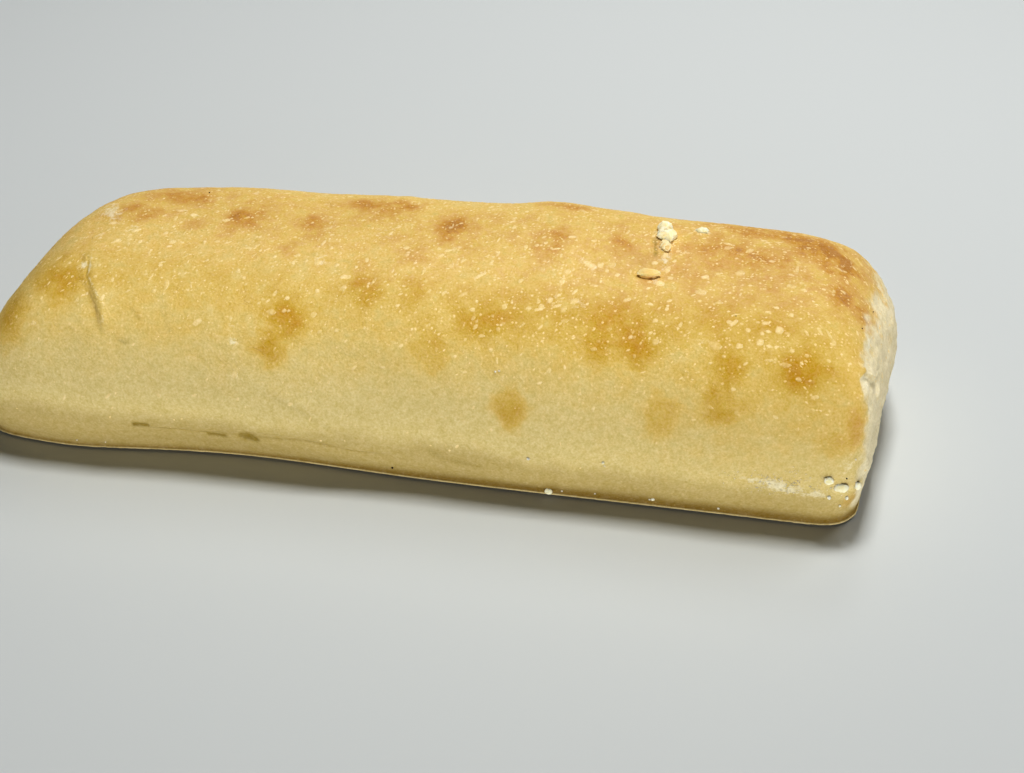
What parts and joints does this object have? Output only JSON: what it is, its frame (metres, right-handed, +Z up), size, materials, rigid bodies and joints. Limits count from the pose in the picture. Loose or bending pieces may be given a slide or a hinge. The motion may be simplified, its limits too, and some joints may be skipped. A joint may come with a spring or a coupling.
{
  "type": "ciabatta loaf",
  "caption": "Whole baked ciabatta, a long low soft-edged loaf with a rounded crown, one slack slanting end, a folded crease, a low seam along the front wall and a flat base.",
  "frame": {"origin": "the middle of the loaf's outline, at the height of the table that its flat base rests on", "axes": "+X runs along the loaf to its blunt end, +Y to its back wall, and +Z up from the base"},
  "size_m": [0.29, 0.1014, 0.0626],
  "materials": {
    "crust": "matte baked crust with a trace of flour"
  },
  "bodies": {
    "root": {"loaf": "crust"}
  },
  "joints": []
}
